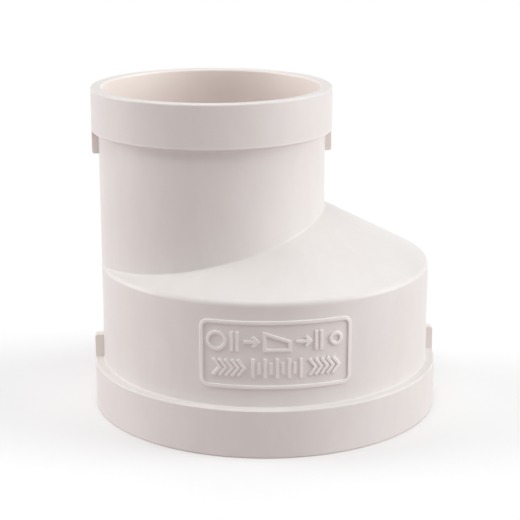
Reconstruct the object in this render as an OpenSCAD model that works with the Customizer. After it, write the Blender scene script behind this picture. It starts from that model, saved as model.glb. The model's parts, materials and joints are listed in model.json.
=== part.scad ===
// Eccentric reducer for solvent-cement drain pipe. A wide socket and a narrow socket stand on
// parallel axes, set off so that their outer walls line up along one side.
//
// The origin is the centre of the wide mouth, which stands on the XY plane. +Z points to the
// narrow mouth, the narrow socket is offset towards -X, and the marking plate faces -Y.

/* [Large socket] */
// Bore diameter, for pipe of 110 mm
large_bore_d = 110.4; // [110.2:0.1:110.6]
// Wall thickness of the socket
large_wall = 2.75; // [2.4:0.05:3.2]
// Depth from the mouth to the pipe stop
large_depth = 48; // [46:1:60]
// How far the collar stands out from the wall
large_collar_step = 3.15; // [2:0.05:4]
// Length of the collar along the axis
large_collar_h = 16.6; // [12:0.1:20]
// How far the pipe stop reaches into the bore
large_stop_step = 1.8; // [1.4:0.1:2.4]
// Height of the pipe stop along the axis
large_stop_h = 2; // [1.5:0.1:2.4]

/* [Small socket] */
// Bore diameter, for pipe of 75 mm
small_bore_d = 75.4; // [75.2:0.1:75.6]
// Wall thickness of the socket
small_wall = 1.65; // [1.6:0.05:2.4]
// Depth from the mouth to the pipe stop
small_depth = 40; // [38:1:50]
// How far the collar stands out from the wall
small_collar_step = 2.4; // [1.5:0.05:3]
// Length of the collar along the axis
small_collar_h = 15; // [10:0.1:20]
// How far the pipe stop reaches into the bore
small_stop_step = 2.7; // [2.5:0.1:3.2]
// Height of the pipe stop along the axis
small_stop_h = 2; // [1.5:0.1:4]

/* [Shoulder] */
// Slope of the shoulder, in degrees from level
shoulder_angle = 27.8; // [20:0.1:35]
// Height from the large pipe stop's ledge to the foot of the slope
shoulder_foot_h = 4; // [3.6:0.1:6]
// Thickness of the sloping wall
shoulder_wall = 3; // [2.5:0.1:3.5]
// Rounding of the shoulder's outer edge
shoulder_edge_r = 2.2; // [0.5:0.1:3]
// Straight neck above the highest point of the slope
neck_land_h = 0.2; // [0.2:0.1:5]

/* [Edges] */
// Rounding of the collars' outer edges
collar_edge_r = 0.6; // [0.3:0.1:1]
// Rounding of the bores' mouths, which leads the pipe in
mouth_edge_r = 0.8; // [0.4:0.1:1.2]

/* [Lugs] */
// Length of a lug along the axis, from the collar to its free end
lug_h = 8.2; // [4:0.1:10]
// Width of a lug across the mould's parting plane
lug_w = 4; // [2:0.1:8]
// Rounding of a lug's free corner
lug_corner_r = 0.9; // [0.3:0.1:1.3]

/* [Marking plate] */
// Width of the frame
plate_w = 49.6; // [46:0.1:56]
// Height of the frame
plate_h = 23; // [18:0.1:24]
// Height of the frame's centre above the large mouth
plate_z = 34.6; // [34:0.1:36]
// Sideways place of the frame's centre
plate_x = -0.6; // [-2:0.1:2]
// Width of the frame's band
plate_band = 1.1; // [0.8:0.1:1.5]
// Outer corner radius of the frame
plate_corner_r = 2.8; // [1.5:0.1:3]
// How far the frame and the symbols stand out from the wall
plate_relief = 0.5; // [0.2:0.05:0.8]
// Line width of the symbols
line_w = 1; // [0.6:0.1:1.2]

/* [Hidden] */

$fn = 128;
arc_steps = 6;
pvc = [0.93, 0.91, 0.9];

large_r = large_bore_d / 2;
large_outer_r = large_r + large_wall;
large_collar_r = large_outer_r + large_collar_step;
large_stop_r = large_r - large_stop_step;

small_r = small_bore_d / 2;
small_outer_r = small_r + small_wall;
small_collar_r = small_outer_r + small_collar_step;
small_stop_r = small_r - small_stop_step;

// The small wall stops this far inside the large one on the flush side, so that the two never
// just graze each other.
flush_gap = 0.05;
offset_x = -(large_outer_r - small_outer_r - flush_gap);

// Levels along the axis, from the large mouth up
large_stop_z = large_depth;
shoulder_z = large_stop_z + large_stop_h;
foot_z = large_stop_z + shoulder_foot_h;
shoulder_run = large_outer_r - small_outer_r - offset_x;
shoulder_top_z = foot_z + shoulder_run * tan(shoulder_angle);
small_stop_z = shoulder_top_z + neck_land_h;
small_socket_z = small_stop_z + small_stop_h;
total_h = small_socket_z + small_depth;

// The slope is drawn in to this radius, which is inside the neck all round.
shoulder_core_r = (small_outer_r + offset_x) / 2;

// The symbols stand in slots along two rows.
row_h = 6.6;
row_gap = 9;
slot_pitch = 3.9;
slot_count = 11;
// A slanting line is drawn to this height, so that its width stays within the row.
line_h = row_h - line_w;

// Points on an arc about [x, y]
function arc(x, y, r, from, to) =
    [for (i = [0:arc_steps])
        let (a = from + (to - from) * i / arc_steps)
        [x + r * cos(a), y + r * sin(a)]];

// Height of the slope's outer face at radius r
function slope_z(r) = foot_z + (large_outer_r - r) * tan(shoulder_angle);

// Height of the slope's inner face at radius r
function slope_under_z(r) = slope_z(r) - shoulder_wall / cos(shoulder_angle);

module on_small_axis() {
    translate([offset_x, 0, 0]) children();
}

// A plain ring that stands at height z
module ring(outer_r, inner_r, z, h) {
    translate([0, 0, z])
        difference() {
            cylinder(r = outer_r, h = h);
            translate([0, 0, -1]) cylinder(r = inner_r, h = h + 2);
        }
}

// A socket wall with its mouth at z = 0 and a rounded lead-in
module socket_wall(bore_r, outer_r, depth) {
    rotate_extrude()
        polygon(concat(
            [[outer_r, 0], [outer_r, depth], [bore_r, depth]],
            arc(bore_r + mouth_edge_r, mouth_edge_r, mouth_edge_r, 180, 270)
        ));
}

// A collar round a socket wall, with its mouth face at z = 0 and both outer edges rounded
module collar_band(wall_r, collar_r, h) {
    centre_r = collar_r - collar_edge_r;
    rotate_extrude()
        polygon(concat(
            [[wall_r, h], [wall_r, 0]],
            arc(centre_r, collar_edge_r, collar_edge_r, -90, 0),
            arc(centre_r, h - collar_edge_r, collar_edge_r, 0, 90)
        ));
}

// A lug on a collar's inner face at z = h, on the side that the angle turn gives. Its root
// closes the collar's rounded edge, so that it runs flush with the collar.
module lug(wall_r, collar_r, h, turn) {
    edge_r = collar_r - collar_edge_r;
    free_z = h + lug_h;
    intersection() {
        rotate_extrude()
            polygon(concat(
                [[wall_r, free_z], [wall_r, h]],
                arc(edge_r, h - collar_edge_r, collar_edge_r, 90, 0),
                arc(collar_r - lug_corner_r, free_z - lug_corner_r, lug_corner_r, 0, 90)
            ));
        rotate([0, 0, turn])
            translate([0, -lug_w / 2, 0])
                cube([collar_r + 1, lug_w, free_z + 1]);
    }
}

// Turns a part that is drawn mouth down into the small socket's place, mouth up
module at_small_mouth() {
    translate([offset_x, 0, total_h]) mirror([0, 0, 1]) children();
}

module large_socket() {
    color(pvc) socket_wall(large_r, large_outer_r, large_depth);
}

module large_collar() {
    color(pvc) collar_band(large_outer_r, large_collar_r, large_collar_h);
}

module large_pipe_stop() {
    color(pvc) ring(large_outer_r, large_stop_r, large_stop_z, large_stop_h);
}

// The sloping wall round the neck
module shoulder() {
    // The edge's rounding is tangent to the wall and to the slope.
    round_r = large_outer_r - shoulder_edge_r;
    round_z = foot_z - shoulder_edge_r * tan((90 - shoulder_angle) / 2);
    color(pvc)
        difference() {
            rotate_extrude()
                polygon(concat(
                    [[large_stop_r, slope_under_z(large_stop_r)]],
                    [[large_stop_r, shoulder_z], [large_outer_r, shoulder_z]],
                    arc(round_r, round_z, shoulder_edge_r, 0, 90 - shoulder_angle),
                    [[shoulder_core_r, slope_z(shoulder_core_r)],
                     [shoulder_core_r, slope_under_z(shoulder_core_r)]]
                ));
            on_small_axis() cylinder(r = small_outer_r, h = total_h);
        }
}

// The offset tube between the shoulder and the small socket
module neck() {
    color(pvc)
        difference() {
            on_small_axis() ring(small_outer_r, small_stop_r, shoulder_z, small_stop_z - shoulder_z);
            rotate_extrude()
                polygon([
                    [0, shoulder_z - 1],
                    [large_stop_r, shoulder_z - 1],
                    [large_stop_r, slope_under_z(large_stop_r)],
                    [0, slope_under_z(0)]
                ]);
        }
}

module small_pipe_stop() {
    color(pvc) on_small_axis() ring(small_outer_r, small_stop_r, small_stop_z, small_stop_h);
}

module small_socket() {
    color(pvc) at_small_mouth() socket_wall(small_r, small_outer_r, small_depth);
}

module small_collar() {
    color(pvc) at_small_mouth() collar_band(small_outer_r, small_collar_r, small_collar_h);
}

module upper_left_lug() {
    color(pvc) at_small_mouth() lug(small_outer_r, small_collar_r, small_collar_h, 180);
}

module upper_right_lug() {
    color(pvc) at_small_mouth() lug(small_outer_r, small_collar_r, small_collar_h, 0);
}

module lower_left_lug() {
    color(pvc) lug(large_outer_r, large_collar_r, large_collar_h, 180);
}

module lower_right_lug() {
    color(pvc) lug(large_outer_r, large_collar_r, large_collar_h, 0);
}

// Raises a flat outline from the front of the large socket's wall. The mould half draws off
// along -Y, so the sides of the relief run that way.
module raised_on_wall() {
    intersection() {
        ring(large_outer_r + plate_relief, large_outer_r, large_collar_h, foot_z - large_collar_h);
        translate([plate_x, 0, plate_z])
            rotate([90, 0, 0])
                linear_extrude(large_outer_r + 5) children();
    }
}

module rounded_rectangle(w, h, r) {
    polygon(concat(
        arc(w / 2 - r, h / 2 - r, r, 0, 90),
        arc(r - w / 2, h / 2 - r, r, 90, 180),
        arc(r - w / 2, r - h / 2, r, 180, 270),
        arc(w / 2 - r, r - h / 2, r, 270, 360)
    ));
}

module marking_frame() {
    color(pvc)
        raised_on_wall()
            difference() {
                rounded_rectangle(plate_w, plate_h, plate_corner_r);
                rounded_rectangle(
                    plate_w - 2 * plate_band,
                    plate_h - 2 * plate_band,
                    plate_corner_r - plate_band
                );
            }
}

// Unit vector to the left of the way from a to b
function left_of(a, b) =
    let (way = b - a)
    [-way.y, way.x] / norm(way);

// From the corner b of a line that runs a, b, c to the corner of its left edge
function left_edge(a, b, c) =
    let (before = left_of(a, b), after = left_of(b, c))
    (before + after) / (1 + before * after) * line_w / 2;

// A line through the points, with mitred corners and square ends
module stroke(points) {
    last = len(points) - 1;
    start = 2 * points[0] - points[1];
    end = 2 * points[last] - points[last - 1];
    path = concat([start], points, [end]);
    shifts = [for (i = [0:last]) left_edge(path[i], path[i + 1], path[i + 2])];
    polygon(concat(
        [for (i = [0:last]) points[i] + shifts[i]],
        [for (i = [last:-1:0]) points[i] - shifts[i]]
    ));
}

// A line that closes on itself, with its points taken anticlockwise
module closed_stroke(points) {
    count = len(points);
    shifts = [for (i = [0:count - 1])
        left_edge(points[(i + count - 1) % count], points[i], points[(i + 1) % count])];
    difference() {
        polygon(points - shifts);
        polygon(points + shifts);
    }
}

// A pipe seen end on, with its outer radius
module pipe_end(r) {
    difference() {
        circle(r);
        circle(r - line_w);
    }
}

// A bar that stands across the row
module bar(h) {
    stroke([[0, -h / 2], [0, h / 2]]);
}

// A chevron that points to the right
module chevron(w, h) {
    stroke([[-w / 2, h / 2], [w / 2, 0], [-w / 2, -h / 2]]);
}

// An arrow that points to the right
module arrow(w, h) {
    stroke([[-w / 2, 0], [w / 2, 0]]);
    translate([(w - h / 2) / 2, 0]) chevron(h / 2, h);
}

// The outline of a taper that is straight along its lower side
module taper(w, h) {
    closed_stroke([[-w / 2, -h / 2], [w / 2, -h / 2], [w / 2, 0], [-w / 2, h / 2]]);
}

// Places a symbol in a slot of a row. Slots are counted from the left and rows from the top,
// and a slot between two others is a fraction.
module in_slot(row, slot) {
    translate([(slot - (slot_count - 1) / 2) * slot_pitch, row_gap / 2 - row * row_gap])
        children();
}

// The upper row says: from the wide pipe, through a taper, to the narrow pipe. The lower row is
// a scale of bars between chevrons.
module marking_symbols() {
    color(pvc)
        raised_on_wall() {
            in_slot(0, 0) pipe_end(row_h / 2);
            in_slot(0, 5) taper(slot_pitch * 2.1, line_h);
            in_slot(0, 10) pipe_end(row_h * small_outer_r / large_outer_r / 2);
            for (slot = [1.25, 1.7, 8.3, 8.75]) in_slot(0, slot) bar(row_h);
            for (slot = [2.8, 7.2]) in_slot(0, slot) arrow(slot_pitch * 1.2, line_h * 0.6);
            for (slot = [0:0.5:2]) in_slot(1, slot) chevron(slot_pitch * 0.55, line_h);
            for (slot = [3:0.5:7]) in_slot(1, slot) bar(slot % 1 == 0 ? row_h : row_h * 0.6);
            for (slot = [8:0.5:10]) in_slot(1, slot) chevron(slot_pitch * 0.55, line_h);
        }
}

large_socket();
large_collar();
large_pipe_stop();
shoulder();
neck();
small_pipe_stop();
small_socket();
small_collar();
upper_left_lug();
upper_right_lug();
lower_left_lug();
lower_right_lug();
marking_frame();
marking_symbols();
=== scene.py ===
import json
import math

import bmesh
import bpy
import numpy as np
from bpy.props import FloatProperty, FloatVectorProperty, PointerProperty
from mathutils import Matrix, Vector, geometry


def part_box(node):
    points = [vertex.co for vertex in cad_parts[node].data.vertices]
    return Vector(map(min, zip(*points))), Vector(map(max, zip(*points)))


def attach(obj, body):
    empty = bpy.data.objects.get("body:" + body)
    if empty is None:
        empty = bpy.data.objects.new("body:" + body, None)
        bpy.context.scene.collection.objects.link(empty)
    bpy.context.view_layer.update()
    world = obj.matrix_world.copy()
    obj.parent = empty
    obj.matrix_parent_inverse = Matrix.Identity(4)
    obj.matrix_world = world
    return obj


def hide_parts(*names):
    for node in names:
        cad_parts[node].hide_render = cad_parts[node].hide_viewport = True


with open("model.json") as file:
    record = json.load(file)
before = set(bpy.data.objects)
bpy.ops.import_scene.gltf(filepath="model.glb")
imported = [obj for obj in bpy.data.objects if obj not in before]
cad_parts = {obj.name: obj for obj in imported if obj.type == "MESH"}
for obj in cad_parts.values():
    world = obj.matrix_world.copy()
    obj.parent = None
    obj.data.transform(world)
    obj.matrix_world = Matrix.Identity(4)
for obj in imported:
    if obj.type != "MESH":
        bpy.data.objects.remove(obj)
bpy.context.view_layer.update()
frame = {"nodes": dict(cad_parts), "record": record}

bl_info = {
    "name": "Eccentric Reducer",
    "version": (1, 0, 0),
    "blender": (4, 5, 0),
    "location": "3D View > Sidebar > Reducer",
    "description": "A moulded fitting that joins a wide and a narrow pipe, with a small studio",
    "category": "Add Mesh",
}

MM = 0.001
BODY = "root"

# Steps in a full turn. Every wall uses the same ones, so that the pieces meet edge to edge.
AROUND = 288
TURN = np.arange(AROUND) * 2 * math.pi / AROUND
HEADINGS = np.stack([np.cos(TURN), np.sin(TURN)], axis=1)


# ---- What the frame says ----


def reach(node, axis_x=0.0):
    """The least and the greatest distance of a CAD node from an upright axis."""
    mesh = frame["nodes"][node].data
    points = np.empty(len(mesh.vertices) * 3, np.float32)
    mesh.vertices.foreach_get("co", points)
    x, y, _ = points.reshape(-1, 3).T.astype(float)
    distance = np.hypot(x - axis_x, y)
    return distance.min(), distance.max()


def levels(node):
    """The lowest and the highest level of a CAD node."""
    low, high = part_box(node)
    return low.z, high.z


class End:
    """One end of the fitting: its axis, and its radii as the frame gives them"""

    def __init__(self, size, axis_x, opens_up):
        self.size = size
        self.axis_x = axis_x
        self.opens_up = opens_up
        self.bore_r, self.wall_r = reach(f"{size}_socket", axis_x)
        self.collar_r = reach(f"{size}_collar", axis_x)[1]
        self.stop_r = reach(f"{size}_pipe_stop", axis_x)[0]

    def levels(self, node):
        """The levels of a node of this end, the one nearer to the mouth first."""
        low, high = levels(node)
        return (high, low) if self.opens_up else (low, high)


MOUNTS = {mount["name"]: mount for mount in frame["record"]["mounts"]}
LARGE = End("large", 0.0, False)
SMALL = End("small", MOUNTS["small_socket"]["pos_m"][0], True)
LARGE_AXIS = np.array([LARGE.axis_x, 0.0])
SMALL_AXIS = np.array([SMALL.axis_x, 0.0])
SHOULDER_Z, SHOULDER_TOP_Z = levels("shoulder")


# ---- Sizes and colours that a user may change ----


def length(name, description, default):
    """A length property, with its default in millimetres."""
    return FloatProperty(
        name=name, description=description, default=default * MM, unit="LENGTH", precision=5
    )


def angle(name, description, default):
    """An angle property, with its default in degrees."""
    return FloatProperty(
        name=name, description=description, default=math.radians(default), subtype="ANGLE"
    )


def colour(name, description, default):
    """A colour property."""
    return FloatVectorProperty(
        name=name, description=description, default=default, subtype="COLOR", size=3, min=0, max=1
    )


class ReducerShape(bpy.types.PropertyGroup):
    """Sizes of the fitting that its frame doesn't state"""

    slope_angle: angle("Slope", "Slope of the shoulder, from level", 27.8)
    slope_wall: length("Slope wall", "Thickness of the sloping wall", 3.0)
    shoulder_edge: length("Shoulder edge", "Rounding of the shoulder's outer edge", 2.2)
    inner_edge: length("Inner edge", "Rounding between the inner wall and the slope", 1.5)
    crease: length("Crease", "Fillet where the slope meets the narrow tube", 0.5)
    passage_edge: length("Passage edge", "Rounding of the narrow passage's lower edge", 0.8)
    mouth_edge: length("Mouth edge", "Rounding that leads a pipe into a socket", 0.8)
    collar_edge: length("Collar edge", "Rounding of a collar's outer edges", 0.6)
    collar_foot: length("Collar foot", "Fillet where a collar meets the wall", 0.3)
    stop_edge: length("Stop edge", "Rounding of a pipe stop's edge", 0.4)
    lug_edge: length("Lug edge", "Rounding of a lug's sides", 0.3)
    lug_corner: length("Lug corner", "Rounding of a lug's free corner", 0.9)
    band: length("Frame band", "Width of the marking frame's band", 1.1)
    frame_corner: length("Frame corner", "Corner radius of the marking frame", 2.8)
    line: length("Symbol line", "Line width of the symbols", 1.0)
    row_height: length("Row height", "Height of a row of symbols", 6.6)
    row_gap: length("Row gap", "Distance between the two rows of symbols", 9.0)
    slot_pitch: length("Slot pitch", "Distance between the slots of a row", 3.9)


class ReducerFinish(bpy.types.PropertyGroup):
    """Colours and gloss of the plastic"""

    body: colour("Plastic", "Colour of the moulded plastic", (0.825, 0.789, 0.766))
    stain: colour("Flow tint", "Colour that the flow marks lean to", (0.75, 0.708, 0.682))
    # Painted glow: a lighter, warmer tone painted on the bores and on the lugs, standing in for warm
    # light on them.
    bore: colour("Bore", "Colour of the bores, where the plastic glows through", (0.91, 0.835, 0.79))
    # Painted highlight: a lighter tone painted on the small collar's lower edge and on the raised
    # marking, standing in for the light that catches them.
    highlit: colour("Thin plastic", "Colour of thin edges and raised lines", (0.93, 0.895, 0.875))
    roughness: FloatProperty(
        name="Roughness", description="Roughness of the moulded faces", default=0.42, min=0, max=1
    )
    bore_roughness: FloatProperty(
        name="Bore roughness", description="Roughness of the polished bores", default=0.36, min=0, max=1
    )


class ReducerStudio(bpy.types.PropertyGroup):
    """Camera, lights and floor"""

    lens: FloatProperty(name="Lens", description="Focal length", default=103.8, unit="CAMERA")
    distance: FloatProperty(
        name="Distance", description="From the camera to its aim", default=0.5357, unit="LENGTH"
    )
    azimuth: angle("Azimuth", "The camera's place round the object, from the front to the left", 4.29)
    elevation: angle("Elevation", "How far the camera looks down", 15.37)
    aim: FloatVectorProperty(
        name="Aim", description="Point that the camera looks at", default=(-0.00178, 0, 0.05068),
        subtype="XYZ", unit="LENGTH", precision=5,
    )
    floor: colour("Floor", "Colour of the floor", (0.9, 0.9, 0.9))
    floor_radius: FloatProperty(
        name="Floor radius", description="Radius of the floor", default=12.0, unit="LENGTH"
    )


# ---- Mesh work ----


def new_piece(name, points, faces, sharp_degrees=35.0):
    """Makes a closed mesh object with its smooth and its sharp edges set."""
    work = bmesh.new()
    made = [work.verts.new(point) for point in points]
    for face in faces:
        work.faces.new([made[corner] for corner in face])
    bmesh.ops.remove_doubles(work, verts=work.verts, dist=0.0005 * MM)
    bmesh.ops.dissolve_degenerate(work, edges=work.edges, dist=0.0002 * MM)
    bmesh.ops.recalc_face_normals(work, faces=work.faces)
    limit = math.radians(sharp_degrees)
    for edge in work.edges:
        edge.smooth = len(edge.link_faces) == 2 and edge.calc_face_angle(0) < limit
    for face in work.faces:
        face.smooth = True
    mesh = bpy.data.meshes.new(name)
    work.to_mesh(mesh)
    work.free()
    piece = bpy.data.objects.new(name, mesh)
    bpy.context.scene.collection.objects.link(piece)
    even = piece.modifiers.new("even_shading", "WEIGHTED_NORMAL")
    even.keep_sharp = True
    return piece


def fit(piece, node, material):
    """Puts a piece in a CAD node's place and gives it its finish."""
    piece.data.materials.append(material)
    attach(piece, BODY)
    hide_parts(node)
    return piece


def columns_of(flat, heights):
    """Columns of points, from their rows in the plane and the rows' heights."""
    return np.concatenate([np.stack(flat, axis=1), np.stack(heights, axis=1)[:, :, None]], axis=2)


def band_faces(start, count):
    """Faces between a closed row of points and the row after it."""
    faces = []
    for i in range(count):
        here = start + i
        beside = start + (i + 1) % count
        faces.append([here, beside, beside + count, here + count])
    return faces


def closed_band(name, columns):
    """A piece of closed columns of points that follow each other round a full turn."""
    turns, rows, _ = columns.shape
    index = np.arange(turns * rows).reshape(turns, rows)
    after = np.roll(index, -1, axis=0)
    quads = np.stack([index, np.roll(index, -1, axis=1), np.roll(after, -1, axis=1), after], axis=2)
    return new_piece(name, columns.reshape(-1, 3), quads.reshape(-1, 4).tolist())


def rounded(corners, steps=8):
    """The points of a closed outline. Each corner is (across, up, rounding)."""
    points = []
    for i, (across, up, rounding) in enumerate(corners):
        corner = np.array([across, up])
        if rounding == 0:
            points.append(corner)
            continue
        before = np.array(corners[i - 1][:2]) - corner
        after = np.array(corners[(i + 1) % len(corners)][:2]) - corner
        before /= np.linalg.norm(before)
        after /= np.linalg.norm(after)
        half = math.acos(np.clip(before @ after, -1, 1)) / 2
        sweep = math.pi - 2 * half
        inward = (before + after) / np.linalg.norm(before + after)
        centre = corner + inward * rounding / math.sin(half)
        start = corner + before * rounding / math.tan(half) - centre
        end = corner + after * rounding / math.tan(half) - centre
        for share in np.linspace(0, 1, steps + 1):
            swung = start * math.sin((1 - share) * sweep) + end * math.sin(share * sweep)
            points.append(centre + swung / math.sin(sweep))
    return np.array(points)


def turned(name, corners, axis_x):
    """A piece turned about an upright axis, from the corners of its outline."""
    outline = rounded(corners)
    columns = np.empty((AROUND, len(outline), 3))
    columns[:, :, :2] = HEADINGS[:, None] * outline[None, :, :1]
    columns[:, :, 0] += axis_x
    columns[:, :, 2] = outline[:, 1]
    return closed_band(name, columns)


def quarter(steps):
    """A quarter circle in steps: how far it has come across, and how far it has still to go down."""
    swing = np.linspace(0, math.pi / 2, steps + 1)
    return 1 - np.cos(swing), 1 - np.sin(swing)


# ---- Sockets, collars and pipe stops ----


def socket_wall(end, shape, material):
    """A socket's wall, from its mouth to the ledge of its pipe stop."""
    node = f"{end.size}_socket"
    mouth_z, stop_z = end.levels(node)
    corners = [
        (end.wall_r, mouth_z, 0),
        (end.wall_r, stop_z, 0),
        (end.bore_r - shape.collar_foot, stop_z, 0),
        (end.bore_r, stop_z, shape.collar_foot),
        (end.bore_r, mouth_z, shape.mouth_edge),
    ]
    return fit(turned(f"{end.size}_socket_wall", corners, end.axis_x), node, material)


def collar(end, shape, material):
    """A collar round a socket's mouth, with a small fillet at its foot."""
    node = f"{end.size}_collar"
    mouth_z, inner_z = end.levels(node)
    foot_z = inner_z + math.copysign(shape.collar_foot, inner_z - mouth_z)
    corners = [
        (end.wall_r, mouth_z, 0),
        (end.collar_r, mouth_z, shape.collar_edge),
        (end.collar_r, inner_z, shape.collar_edge),
        (end.wall_r, inner_z, shape.collar_foot),
        (end.wall_r, foot_z, 0),
    ]
    return fit(turned(f"{end.size}_collar_band", corners, end.axis_x), node, material)


def pipe_stop(end, shape, material):
    """The ring that a pipe's end comes up against."""
    node = f"{end.size}_pipe_stop"
    ledge_z, far_z = end.levels(node)
    corners = [
        (end.wall_r, ledge_z, 0),
        (end.wall_r, far_z, 0),
        (end.stop_r, far_z, 0),
        (end.stop_r, ledge_z, shape.stop_edge),
    ]
    return fit(turned(f"{end.size}_stop_ring", corners, end.axis_x), node, material)


# ---- Shoulder and neck ----


class Slope:
    """The outline of a slope that bends down into an upright wall"""

    def __init__(self, wall_r, foot_z, tilt, rounding):
        self.wall_r = wall_r
        self.foot_z = foot_z
        self.tilt = tilt
        self.rounding = rounding
        self.centre_r = wall_r - rounding
        self.centre_z = foot_z - rounding * math.tan((math.pi / 2 - tilt) / 2)
        self.bend_r = self.centre_r + rounding * math.sin(tilt)

    def height(self, r):
        """Height of the outline at radius r."""
        straight = self.foot_z + (self.wall_r - r) * math.tan(self.tilt)
        drop = np.maximum(self.rounding**2 - (r - self.centre_r) ** 2, 0)
        return np.where(r < self.bend_r, straight, self.centre_z + np.sqrt(drop))

    def radii(self, start_r, straight_rows=14, bend_rows=10, least_share=0.4):
        """Radii from start_r out to the wall, in steps along the outline.

        The straight rows cover the slope's run, and no less than least_share of the way.
        """
        run = np.maximum(self.bend_r - start_r, 0) / math.cos(self.tilt)
        start_share = np.clip((start_r - self.centre_r) / self.rounding, math.sin(self.tilt), 1)
        start_angle = np.arccos(start_share)
        whole = run + self.rounding * start_angle
        split = np.maximum(run, least_share * whole)
        first = np.linspace(0, 1, straight_rows + 1)
        second = np.linspace(0, 1, bend_rows + 1)[1:]
        way = np.concatenate(
            [split[:, None] * first, split[:, None] + (whole - split)[:, None] * second], axis=1
        )
        swing = start_angle[:, None] - (way - run[:, None]) / self.rounding
        bent = self.centre_r + self.rounding * np.cos(np.clip(swing, 0, math.pi / 2))
        return np.where(way < run[:, None], start_r[:, None] + way * math.cos(self.tilt), bent)


def slopes(shape):
    """The shoulder's outer and inner outlines."""
    outer_reach = LARGE.wall_r - SMALL.wall_r - SMALL.axis_x
    foot_z = SHOULDER_TOP_Z - outer_reach * math.tan(shape.slope_angle)
    outer = Slope(LARGE.wall_r, foot_z, shape.slope_angle, shape.shoulder_edge)
    under_z = (
        foot_z
        + (LARGE.wall_r - LARGE.stop_r) * math.tan(shape.slope_angle)
        - shape.slope_wall / math.cos(shape.slope_angle)
    )
    inner = Slope(LARGE.stop_r, under_z, shape.slope_angle, shape.inner_edge)
    return outer, inner


def crossing(start, way, centre, r):
    """The points where lines from start along way come to the distance r from centre."""
    from_centre = start - centre
    a = (way * way).sum(-1)
    b = (from_centre * way).sum(-1)
    c = (from_centre * from_centre).sum(-1)
    share = (np.sqrt(np.maximum(b * b + a * (r * r - c), 0)) - b) / a
    return start + way * share[..., None]


def shoulder_columns(shape):
    """Closed columns of the shoulder, from the narrow tube out to the wide wall and back inside."""
    outer, inner = slopes(shape)
    tube = SMALL_AXIS + HEADINGS * SMALL.wall_r
    way = HEADINGS * LARGE.wall_r - tube
    tube_r = np.linalg.norm(tube, axis=1)
    gap = np.linalg.norm(way, axis=1)
    fillet = shape.crease * gap / (gap + shape.crease)
    flat = []
    heights = []

    # Down the fillet at the tube and out along the slope
    for across, down in zip(*quarter(12)):
        point = crossing(tube, way, SMALL_AXIS, SMALL.wall_r + fillet * across)
        flat.append(point)
        heights.append(outer.height(np.linalg.norm(point, axis=1)) + fillet * down)
    for row in outer.radii(np.linalg.norm(flat[-1], axis=1)).T[1:]:
        flat.append(crossing(tube, way, LARGE_AXIS, row))
        heights.append(outer.height(row))

    # Down the wall, in along the pipe stop and up the inner face
    covered = tube_r >= LARGE.stop_r
    ledge = np.full(AROUND, SHOULDER_Z)
    flat += [flat[-1], crossing(tube, way, LARGE_AXIS, np.maximum(tube_r, LARGE.stop_r))]
    heights += [ledge, ledge]
    for row in inner.radii(np.minimum(tube_r, LARGE.stop_r)).T[::-1]:
        flat.append(crossing(tube, way, LARGE_AXIS, np.maximum(row, tube_r)))
        heights.append(np.where(covered, ledge, inner.height(row)))
    return columns_of(flat, heights)


def neck_columns(shape, top_z):
    """Closed columns of the neck, whose lower end follows the underside of the slope."""
    _, inner = slopes(shape)
    offset = -SMALL.axis_x
    side = offset * HEADINGS[:, 1]
    edge_across = np.sqrt(LARGE.stop_r**2 - side**2) + offset * HEADINGS[:, 0]
    meet = np.clip(edge_across, SMALL.stop_r, SMALL.wall_r)
    open_r = np.linalg.norm(SMALL_AXIS + HEADINGS * SMALL.stop_r, axis=1)
    covered = meet <= SMALL.stop_r
    ledge = np.full(AROUND, SHOULDER_Z)
    top = np.full(AROUND, top_z)

    # The passage's rounding fades out where the passage comes near the edge of the wide pipe stop
    fade_run = 10 * shape.passage_edge
    edge = shape.passage_edge * np.clip((LARGE.stop_r - open_r) / fade_run, 0, 1)

    # Down the outer face, in along the pipe stop and up the slope's underside to the passage
    out = [np.full(AROUND, SMALL.wall_r)]
    heights = [top]
    for share in np.linspace(0, 1, 4):
        out.append(SMALL.wall_r + (meet - SMALL.wall_r) * share)
        heights.append(ledge)
    for share in (1 - np.cos(np.linspace(0, math.pi, 25))) / 2:
        row = meet + (SMALL.stop_r - meet) * share
        r = np.linalg.norm(SMALL_AXIS + HEADINGS * row[:, None], axis=1)
        short = np.maximum(edge - (row - SMALL.stop_r), 0)
        lift = edge - np.sqrt(np.maximum(edge**2 - short**2, 0))
        under = inner.height(np.minimum(r, LARGE.stop_r))
        out.append(row)
        heights.append(np.where(covered, ledge, under) + lift)
    out.append(np.full(AROUND, SMALL.stop_r))
    heights.append(top)
    return columns_of([SMALL_AXIS + HEADINGS * row[:, None] for row in out], heights)


# ---- Lugs ----


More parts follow.
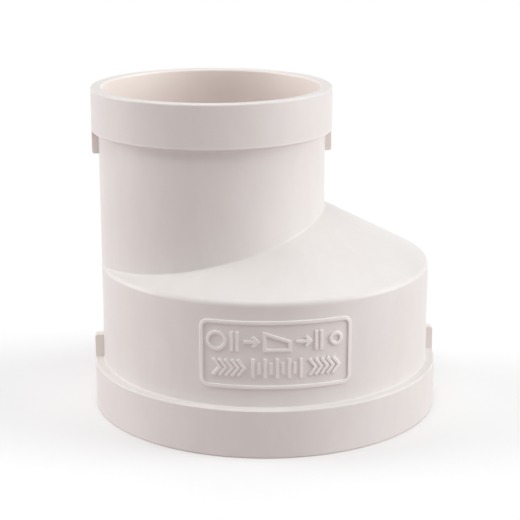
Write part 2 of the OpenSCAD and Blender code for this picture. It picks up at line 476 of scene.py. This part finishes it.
def lug(end, place, way, shape, material):
    """A small block on the parting plane, with a rounded outer face and softened edges.

    Its place is such as upper_left, and its way is -1 on the left and 1 on the right.
    """
    node = f"{place}_lug"
    root_z, free_z = end.levels(node)
    low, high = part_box(node)
    half_width = (high.y - low.y) / 2
    buried_r = end.wall_r - shape.lug_edge

    # Sections from one side of the block to the middle: where each is, and how much smaller
    across, down = quarter(5)
    places = list(half_width - shape.lug_edge * across)
    cuts = list(shape.lug_edge * down)
    places += list(np.linspace(places[-1], 0, 6)[1:])
    cuts += [0] * 5
    sections = list(zip(places, cuts))
    sections += [(-y, cut) for y, cut in reversed(sections[:-1])]

    columns = []
    for y, cut in sections:
        face_r = end.collar_r - cut
        end_z = free_z - math.copysign(cut, free_z - root_z)
        corners = [
            (buried_r, root_z, 0),
            (face_r, root_z, 0),
            (face_r, end_z, shape.lug_corner),
            (buried_r, end_z, 0),
        ]
        outline = rounded(corners)
        x = end.axis_x + way * np.sqrt(outline[:, 0] ** 2 - y * y)
        columns.append(np.stack([x, np.full(len(x), y), outline[:, 1]], axis=1))
    rows = len(columns[0])
    last = (len(columns) - 1) * rows
    faces = [list(range(rows)), list(range(last, last + rows))]
    for start in range(0, last, rows):
        faces += band_faces(start, rows)
    piece = new_piece(f"{place}_block", np.concatenate(columns), faces)
    return fit(piece, node, material)


# ---- Raised marking ----


def unit(way):
    """The way's direction, with a length of one."""
    return way / np.linalg.norm(way, axis=-1, keepdims=True)


def mitre(before, after):
    """Where each corner of a line goes when the line moves one unit to its left."""
    left_before = np.stack([-before[:, 1], before[:, 0]], axis=1)
    left_after = np.stack([-after[:, 1], after[:, 0]], axis=1)
    return (left_before + left_after) / (1 + (left_before * left_after).sum(1, keepdims=True))


def shifted(loop, distance):
    """A closed line moved to its left, with mitred corners."""
    before = unit(loop - np.roll(loop, 1, axis=0))
    after = unit(np.roll(loop, -1, axis=0) - loop)
    return loop + mitre(before, after) * distance


def dense(loop, step=0.35 * MM):
    """The closed line with points along its straight runs."""
    points = []
    for here, there in zip(loop, np.roll(loop, -1, axis=0)):
        count = max(1, math.ceil(np.linalg.norm(there - here) / step))
        points += [here + (there - here) * i / count for i in range(count)]
    return np.array(points)


def ring(r, line, steps=48):
    """A circle's outer and inner edge."""
    turn = np.arange(steps) * 2 * math.pi / steps
    circle = np.stack([np.cos(turn), np.sin(turn)], axis=1)
    return [circle * r, circle * (r - line)]


def stroke(points, line):
    """The outline of a line through the points, with square ends."""
    points = np.array(points, float)
    path = np.concatenate([[2 * points[0] - points[1]], points, [2 * points[-1] - points[-2]]])
    shift = mitre(unit(path[1:-1] - path[:-2]), unit(path[2:] - path[1:-1])) * line / 2
    return np.concatenate([points - shift, (points + shift)[::-1]])


def bar(height, line):
    """An upright bar."""
    return [stroke([(0, -height / 2), (0, height / 2)], line)]


def chevron(width, height, line):
    """A chevron that points to the right."""
    return [stroke([(-width / 2, height / 2), (width / 2, 0), (-width / 2, -height / 2)], line)]


def arrow(width, height, line):
    """An arrow that points to the right, as one outline."""
    tip_x = width / 2
    tail_x = tip_x - height / 2
    head = stroke([(tail_x, height / 2), (tip_x, 0), (tail_x, -height / 2)], line)
    inner_tail, inner_tip = head[:2]
    share = (line / 2 - inner_tip[1]) / (inner_tail[1] - inner_tip[1])
    joint_x = inner_tip[0] + (inner_tail[0] - inner_tip[0]) * share
    shaft = [
        (joint_x, line / 2),
        (-tip_x, line / 2),
        (-tip_x, -line / 2),
        (joint_x, -line / 2),
    ]
    lower_tail = (inner_tail[0], -inner_tail[1])
    return [np.array([*shaft, lower_tail, *head[3:6], inner_tail])]


def taper(width, height, line):
    """The outline of a taper that is straight along its lower side."""
    middle = np.array(
        [(-width / 2, -height / 2), (width / 2, -height / 2), (width / 2, 0), (-width / 2, height / 2)]
    )
    return [shifted(middle, -line / 2), shifted(middle, line / 2)]


def symbols(shape):
    """Every symbol of the two rows, as lists of outlines."""
    line = shape.line
    row_h = shape.row_height
    line_h = row_h - line
    pitch = shape.slot_pitch
    narrow = SMALL.wall_r / LARGE.wall_r

    # The row of each symbol, from the top, its slot, from 0 on the left to 10, and its outlines
    placed = [(0, 0, ring(row_h / 2, line))]
    placed += [(0, 5, taper(pitch * 2.1, line_h, line))]
    placed += [(0, 10, ring(row_h / 2 * narrow, line))]
    placed += [(0, slot, bar(row_h, line)) for slot in (1.25, 1.7, 8.3, 8.75)]
    placed += [(0, slot, arrow(pitch * 1.2, line_h * 0.6, line)) for slot in (2.8, 7.2)]
    for slot in np.arange(0, 2.1, 0.5):
        placed += [(1, start + slot, chevron(pitch * 0.55, line_h, line)) for start in (0, 8)]
    for slot in np.arange(3, 7.1, 0.5):
        height = row_h if slot % 1 == 0 else row_h * 0.6
        placed += [(1, slot, bar(height, line))]

    moved = []
    for row, slot, loops in placed:
        at = np.array([(slot - 5) * pitch, shape.row_gap * (0.5 - row)])
        moved.append([loop + at for loop in loops])
    return moved


def matched(loop, other):
    """The loop with as many points as another one, at the same shares of its length."""
    closed = np.concatenate([loop, loop[:1]])
    way = np.concatenate([[0], np.cumsum(np.linalg.norm(np.diff(closed, axis=0), axis=1))])
    shares = np.arange(len(other)) / len(other) * way[-1]
    return np.stack([np.interp(shares, way, closed[:, i]) for i in (0, 1)], axis=1)


def relief_steps(relief):
    """The profile of a raised line: how far in from its outline and how far above the wall.

    It starts under the wall's face, so that its foot leaves no gap.
    """
    foot = relief * 0.1
    edge = relief * 0.2
    edge_across = edge * 0.8
    across, down = quarter(5)
    steps = [(-foot, -relief * 0.5), (-foot, -relief * 0.02)]
    for out, up in zip(across[-2::-1], down[-2::-1]):
        steps.append((-foot * (1 - out), foot * (1 - up)))
    for out, up in zip(across, down):
        steps.append((edge_across * out, relief - edge * up))
    return steps


def end_faces(points, starts, count):
    """Faces that close a raised line at one level: between its two edges, or across its one edge."""
    if len(starts) == 2:
        first, second = starts
        return [
            [first + i, first + (i + 1) % count, second + (i + 1) % count, second + i]
            for i in range(count)
        ]
    start = starts[0]
    rim = [Vector((x, z)) for x, _, z in points[start : start + count]]
    border = [(i, (i + 1) % count) for i in range(count)]
    found = geometry.delaunay_2d_cdt(rim, border, [], 1, 1e-9)
    origin = [sources[0] for sources in found[3]]
    return [[start + origin[corner] for corner in face] for face in found[2]]


def raised(name, node, outlines, material):
    """A piece that stands out from the front of the wide wall, with soft edges and a soft foot."""
    low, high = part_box("marking_frame")
    centre_x, centre_z = (low.x + high.x) / 2, (low.z + high.z) / 2
    steps = relief_steps(reach(node)[1] - LARGE.wall_r)
    points = []
    faces = []
    for loops in outlines:
        loops = [dense(loop) for loop in loops]
        if len(loops) == 2 and len(loops[0]) != len(loops[1]):
            loops[1] = matched(loops[1], loops[0])
        count = len(loops[0])
        rise = (len(steps) - 1) * count
        starts = []
        for loop, inward in zip(loops, (1, -1)):
            start = len(points)
            starts.append(start)
            for inset, height in steps:
                line = shifted(loop, inset * inward)
                x = centre_x + line[:, 0]
                y = -np.sqrt((LARGE.wall_r + height) ** 2 - x**2)
                points += np.stack([x, y, centre_z + line[:, 1]], axis=1).tolist()
            for row in range(start, start + rise, count):
                faces += band_faces(row, count)
        faces += end_faces(points, starts, count)
        faces += end_faces(points, [start + rise for start in starts], count)
    return fit(new_piece(name, points, faces, 50.0), node, material)


# ---- Materials ----


class Wire:
    """A socket of a material. Sums and products of wires and numbers add Math nodes"""

    def __init__(self, tree, socket=None):
        self.tree = tree
        self.socket = socket

    def node(self, kind, settings=None, inputs=None, output=0):
        """Adds a node, sets it up, fills its inputs and gives one of its outputs, if it has any."""
        made = self.tree.nodes.new(kind)
        for name, value in (settings or {}).items():
            if name == "stops":
                stops = made.color_ramp.elements
                while len(stops) < len(value):
                    stops.new(0.5)
                for stop, (place, shade) in zip(stops, value, strict=True):
                    stop.position = place
                    stop.color = (*shade, 1)
            else:
                setattr(made, name, value)
        for name, value in (inputs or {}).items():
            if isinstance(value, Wire):
                self.tree.links.new(value.socket, made.inputs[name])
            else:
                made.inputs[name].default_value = value
        return Wire(self.tree, made.outputs[output] if made.outputs else None)

    def math(self, operation, *values):
        """Adds a Math node."""
        return self.node("ShaderNodeMath", {"operation": operation}, dict(enumerate(values)))

    def __add__(self, other):
        return self.math("ADD", self, other)

    def __sub__(self, other):
        return self.math("SUBTRACT", self, other)

    def __rsub__(self, other):
        return self.math("SUBTRACT", other, self)

    def __mul__(self, other):
        return self.math("MULTIPLY", self, other)

    def __truediv__(self, other):
        return self.math("DIVIDE", self, other)

    def __rtruediv__(self, other):
        return self.math("DIVIDE", other, self)

    __radd__ = __add__
    __rmul__ = __mul__


def new_material(name):
    """An empty material, and a wire to build it from."""
    material = bpy.data.materials.new(name)
    material.use_nodes = True
    material.node_tree.nodes.clear()
    return material, Wire(material.node_tree)


def add_surface(wire, inputs):
    """Adds the surface shader with its inputs, and the material's output."""
    surface = wire.node("ShaderNodeBsdfPrincipled", {}, inputs)
    wire.node("ShaderNodeOutputMaterial", {}, {"Surface": surface})


def noise(wire, place, scale, detail=2.0, distortion=0.0):
    """Noise about zero, from -0.5 to 0.5. Its scale is in waves per unit of its place."""
    found = wire.node(
        "ShaderNodeTexNoise",
        {},
        {"Vector": place, "Scale": scale, "Detail": detail, "Distortion": distortion},
    )
    return found - 0.5


def blend(wire, factor, first, second):
    """Mixes two colours, each a wire or three numbers. A factor of one gives the second."""
    first, second = [shade if isinstance(shade, Wire) else (*shade, 1) for shade in (first, second)]
    inputs = {"Factor": factor, 6: first, 7: second}
    return wire.node("ShaderNodeMix", {"data_type": "RGBA"}, inputs, 2)


def fade(wire, value, start, end):
    """Zero where the value is start, one where it is end, and smooth in between."""
    inputs = {"Value": value, "From Min": start, "From Max": end}
    return wire.node("ShaderNodeMapRange", {"interpolation_type": "SMOOTHSTEP"}, inputs)


def vector(wire, operation, inputs, output=0):
    """Adds a Vector Math node."""
    return wire.node("ShaderNodeVectorMath", {"operation": operation}, inputs, output)


def moulded_plastic(name, finish, colours, grain, bore=None, highlight_z=None):
    """Off-white plastic with faint flow marks, a fine grain and the mould's parting line.

    A bore is the place of its axis and its radius in millimetres. It is smoother, and painted lighter
    and warmer: a painted glow.
    A band just above the edge at the given height is painted lighter: a painted highlight.
    """
    material, wire = new_material(name)
    metres = wire.node("ShaderNodeTexCoord", output="Object")
    place = vector(wire, "SCALE", {0: metres, "Scale": 1 / MM})
    stretched = vector(wire, "MULTIPLY", {0: place, 1: (1.0, 1.0, 0.35)})

    # Clouds and stretched flow marks, from one colour towards the other
    cloud = noise(wire, place, 0.035, 3.0)
    flow = noise(wire, stretched, 0.09, 4.0, 1.6)
    tint = wire.math("MULTIPLY_ADD", cloud, 0.9, 0.22) + flow * 0.7
    tint = wire.node("ShaderNodeClamp", {}, {"Value": tint})
    shade = blend(wire, tint, *colours)

    # Fingerprint-sized smudges and the fine grain
    smudge = noise(wire, place, 0.12, 2.0, 0.8)
    fine = noise(wire, place, 1.1, 3.0)
    roughness = smudge * 0.12 + fine * 0.06 + finish.roughness

    if bore:
        # The bores are painted lighter and warmer, a painted glow, and they are made smoother.
        axis_x, bore_r = bore
        level = vector(wire, "MULTIPLY", {0: place, 1: (1.0, 1.0, 0.0)})
        distance = vector(wire, "DISTANCE", {0: level, 1: (axis_x, 0.0, 0.0)}, "Value")
        inside = fade(wire, distance, bore_r + 0.9, bore_r + 0.1)
        shade = blend(wire, inside, shade, finish.bore)
        roughness = roughness - inside * (finish.roughness - finish.bore_roughness)
    if highlight_z:
        # A band just above the edge is painted lighter: a painted highlight.
        up = wire.node("ShaderNodeSeparateXYZ", {}, {0: place}, "Z")
        close = fade(wire, up, highlight_z + 0.9, highlight_z + 0.5)
        shade = blend(wire, close, shade, finish.highlit)

    # The parting line stands up a little, on the plane between the two halves of the mould.
    across = wire.node("ShaderNodeSeparateXYZ", {}, {0: place}, "Y")
    parting = wire.math("EXPONENT", wire.math("POWER", across / 0.12, 2.0) * -1)
    sink = noise(wire, place, 0.06, 1.0)
    peel = noise(wire, place, 0.55, 2.0)
    height = parting * 0.03 + sink * 0.12 + peel * 0.006 + fine * grain
    inputs = {"Strength": 1.0, "Distance": MM, "Height": height}
    relief = wire.node("ShaderNodeBump", {}, inputs, "Normal")
    add_surface(wire, {"Base Color": shade, "Roughness": roughness, "Normal": relief, "IOR": 1.53})
    return material


def material_of(context, name):
    """One of the plastics below, made when it is first asked for."""
    if name in bpy.data.materials:
        return bpy.data.materials[name]
    finish = context.scene.reducer_finish
    plain = (finish.body, finish.stain)
    # Height of the small collar's lower edge, where a highlight is painted.
    highlight_z = SMALL.levels("small_collar")[1] / MM
    kinds = {
        "outer_plastic": (plain, 0.004),
        # The socket plastics carry a painted glow on their bores.
        "large_socket_plastic": (plain, 0.004, (LARGE.axis_x / MM, LARGE.bore_r / MM)),
        "small_socket_plastic": (plain, 0.004, (SMALL.axis_x / MM, SMALL.bore_r / MM)),
        # This plastic paints a highlight on the small collar's lower edge.
        "collar_plastic": (plain, 0.004, None, highlight_z),
        # The lugs are painted mostly in the bore's lighter, warmer tone: a painted glow.
        "lug_plastic": ((finish.bore, finish.body), 0.004),
        # The raised marking is painted mostly in the lighter tone: a painted highlight.
        "marking_plastic": ((finish.highlit, finish.body), 0.003),
    }
    return moulded_plastic(name, finish, *kinds[name])


# ---- Operators ----


class REDUCER_OT_sockets(bpy.types.Operator):
    """Build the walls of the two sockets"""

    bl_idname = "reducer.sockets"
    bl_label = "Socket Walls"

    def execute(self, context):
        for end in (LARGE, SMALL):
            plastic = material_of(context, f"{end.size}_socket_plastic")
            socket_wall(end, context.scene.reducer_shape, plastic)
        return {"FINISHED"}


class REDUCER_OT_collars(bpy.types.Operator):
    """Build the collars round the two mouths"""

    bl_idname = "reducer.collars"
    bl_label = "Collars"

    def execute(self, context):
        for end, plastic in ((LARGE, "outer_plastic"), (SMALL, "collar_plastic")):
            collar(end, context.scene.reducer_shape, material_of(context, plastic))
        return {"FINISHED"}


class REDUCER_OT_pipe_stops(bpy.types.Operator):
    """Build the rings that the pipes' ends come up against"""

    bl_idname = "reducer.pipe_stops"
    bl_label = "Pipe Stops"

    def execute(self, context):
        for end in (LARGE, SMALL):
            plastic = material_of(context, f"{end.size}_socket_plastic")
            pipe_stop(end, context.scene.reducer_shape, plastic)
        return {"FINISHED"}


class REDUCER_OT_shoulder(bpy.types.Operator):
    """Build the sloping shoulder and the neck that stands through it"""

    bl_idname = "reducer.shoulder"
    bl_label = "Shoulder and Neck"

    def execute(self, context):
        shape = context.scene.reducer_shape
        slope = closed_band("shoulder_slope", shoulder_columns(shape))
        fit(slope, "shoulder", material_of(context, "outer_plastic"))
        tube = closed_band("neck_tube", neck_columns(shape, levels("neck")[1]))
        fit(tube, "neck", material_of(context, "small_socket_plastic"))
        return {"FINISHED"}


class REDUCER_OT_lugs(bpy.types.Operator):
    """Build the four lugs on the mould's parting plane"""

    bl_idname = "reducer.lugs"
    bl_label = "Lugs"

    def execute(self, context):
        shape = context.scene.reducer_shape
        plastic = material_of(context, "lug_plastic")
        for side, way in (("left", -1), ("right", 1)):
            lug(LARGE, f"lower_{side}", way, shape, plastic)
            lug(SMALL, f"upper_{side}", way, shape, plastic)
        return {"FINISHED"}


class REDUCER_OT_marking(bpy.types.Operator):
    """Build the raised frame and the symbols in it"""

    bl_idname = "reducer.marking"
    bl_label = "Marking"

    def execute(self, context):
        shape = context.scene.reducer_shape
        plastic = material_of(context, "marking_plastic")
        low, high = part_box("marking_frame")
        edges = []
        for cut in (0.0, shape.band):
            side = (high.x - low.x) / 2 - cut
            top = (high.z - low.z) / 2 - cut
            r = shape.frame_corner - cut
            edges.append(rounded([(-side, -top, r), (side, -top, r), (side, top, r), (-side, top, r)]))
        raised("marking_band", "marking_frame", [edges], plastic)
        raised("marking_signs", "marking_symbols", symbols(shape), plastic)
        return {"FINISHED"}


# Each light: its name, the azimuth that it comes from, counted from the front to the right, its
# elevation and its spread in degrees, and its strength in red, green and blue.
LIGHTS = (
    ("overhead_light", 0, 88, 90, (1.15, 1.15, 1.15)),
    ("right_light", 83, 20, 45, (1.9, 1.95, 1.95)),
    ("left_light", -103, 20, 45, (1.65, 1.65, 1.65)),
    ("front_light", -10, 68, 35, (0.62, 0.62, 0.62)),
    ("back_light", 180, 55, 45, (0.4, 0.4, 0.4)),
)
# The surroundings: colours, each at a height on a ball of sky from 0 below to 1 overhead. The
# horizon is at 0.5 and white, so that the floor's edge doesn't show.
SURROUNDINGS = (
    (0.47, (0.53, 0.43, 0.44)),
    (0.49, (1.0, 1.0, 1.0)),
    (0.56, (1.0, 1.0, 1.0)),
    (0.585, (0.08, 0.08, 0.08)),
)


def direction(azimuth, elevation):
    """The way from the fitting to a place, by its angle from the front to the right and its height."""
    level = math.cos(elevation)
    return Vector((math.sin(azimuth) * level, -math.cos(azimuth) * level, math.sin(elevation)))


class REDUCER_OT_stage(bpy.types.Operator):
    """Set up the floor, the lights, the surroundings and the camera"""

    bl_idname = "reducer.stage"
    bl_label = "Studio"

    def execute(self, context):
        studio = context.scene.reducer_studio
        self.make_floor(context, studio)
        self.make_lights(context)
        self.make_surroundings(context)
        self.make_camera(context, studio)
        context.scene.view_settings.view_transform = "Standard"
        context.scene.view_settings.look = "None"
        return {"FINISHED"}

    def make_floor(self, context, studio):
        """A round sheet of matt paper."""
        work = bmesh.new()
        bmesh.ops.create_circle(work, cap_ends=True, segments=96, radius=studio.floor_radius)
        mesh = bpy.data.meshes.new("floor")
        work.to_mesh(mesh)
        work.free()
        floor = bpy.data.objects.new("floor", mesh)
        context.scene.collection.objects.link(floor)
        material, wire = new_material("floor_paper")
        metres = wire.node("ShaderNodeTexCoord", output="Object")
        roughness = noise(wire, metres, 900.0, 3.0) * 0.1 + 0.9
        tone = (*studio.floor, 1)
        add_surface(wire, {"Base Color": tone, "Roughness": roughness, "Specular IOR Level": 0.1})
        floor.data.materials.append(material)
        # The floor shows, but its glare doesn't light the fitting from below.
        floor.visible_diffuse = False

    def make_lights(self, context):
        """Soft lights, as wide as big cloths hung round the table."""
        for name, azimuth, elevation, spread, strength in LIGHTS:
            sun = bpy.data.lights.new(name, "SUN")
            sun.energy = max(strength)
            sun.color = [part / max(strength) for part in strength]
            sun.angle = math.radians(spread)
            lamp = bpy.data.objects.new(name, sun)
            source = direction(math.radians(azimuth), math.radians(elevation))
            lamp.rotation_mode = "QUATERNION"
            lamp.rotation_quaternion = source.to_track_quat("Z", "Y")
            lamp.location = source
            context.scene.collection.objects.link(lamp)

    def make_surroundings(self, context):
        """A warm glow from below, as off a table top, and a white horizon."""
        world = bpy.data.worlds.new("surroundings")
        world.use_nodes = True
        world.node_tree.nodes.clear()
        wire = Wire(world.node_tree)
        way = wire.node("ShaderNodeTexCoord", output="Generated")
        up = wire.node("ShaderNodeSeparateXYZ", {}, {0: way}, "Z")
        glow = wire.node("ShaderNodeValToRGB", {"stops": SURROUNDINGS}, {0: up * 0.5 + 0.5})
        light = wire.node("ShaderNodeBackground", {}, {"Color": glow})
        wire.node("ShaderNodeOutputWorld", {}, {"Surface": light})
        context.scene.world = world

    def make_camera(self, context, studio):
        """The camera, turned towards its aim."""
        data = bpy.data.cameras.new("camera")
        data.lens = studio.lens
        data.sensor_width = 36.0
        data.clip_start = 0.01
        data.clip_end = 100.0
        camera = bpy.data.objects.new("camera", data)
        back = direction(-studio.azimuth, studio.elevation)
        camera.rotation_mode = "QUATERNION"
        camera.rotation_quaternion = back.to_track_quat("Z", "Y")
        camera.location = Vector(studio.aim) + back * studio.distance
        context.scene.collection.objects.link(camera)
        context.scene.camera = camera


class REDUCER_PT_panel(bpy.types.Panel):
    """The reducer's sizes, finish and steps"""

    bl_idname = "REDUCER_PT_panel"
    bl_label = "Eccentric Reducer"
    bl_space_type = "VIEW_3D"
    bl_region_type = "UI"
    bl_category = "Reducer"

    def draw(self, context):
        for operator in OPERATORS:
            self.layout.operator(operator.bl_idname)
        for group in GROUPS:
            settings = getattr(context.scene, group)
            box = self.layout.box()
            for name in GROUPS[group].__annotations__:
                box.prop(settings, name)


OPERATORS = (
    REDUCER_OT_sockets,
    REDUCER_OT_collars,
    REDUCER_OT_pipe_stops,
    REDUCER_OT_shoulder,
    REDUCER_OT_lugs,
    REDUCER_OT_marking,
    REDUCER_OT_stage,
)
GROUPS = {
    "reducer_shape": ReducerShape,
    "reducer_finish": ReducerFinish,
    "reducer_studio": ReducerStudio,
}


def register():
    for group in GROUPS.values():
        bpy.utils.register_class(group)
    for operator in OPERATORS:
        bpy.utils.register_class(operator)
    bpy.utils.register_class(REDUCER_PT_panel)
    for name, group in GROUPS.items():
        setattr(bpy.types.Scene, name, PointerProperty(type=group))


def unregister():
    for name in GROUPS:
        delattr(bpy.types.Scene, name)
    bpy.utils.unregister_class(REDUCER_PT_panel)
    for operator in reversed(OPERATORS):
        bpy.utils.unregister_class(operator)
    for group in reversed(list(GROUPS.values())):
        bpy.utils.unregister_class(group)


def main():
    register()
    bpy.ops.reducer.sockets()
    bpy.ops.reducer.collars()
    bpy.ops.reducer.pipe_stops()
    bpy.ops.reducer.shoulder()
    bpy.ops.reducer.lugs()
    bpy.ops.reducer.marking()
    bpy.ops.reducer.stage()


if __name__ == "__main__":
    main()
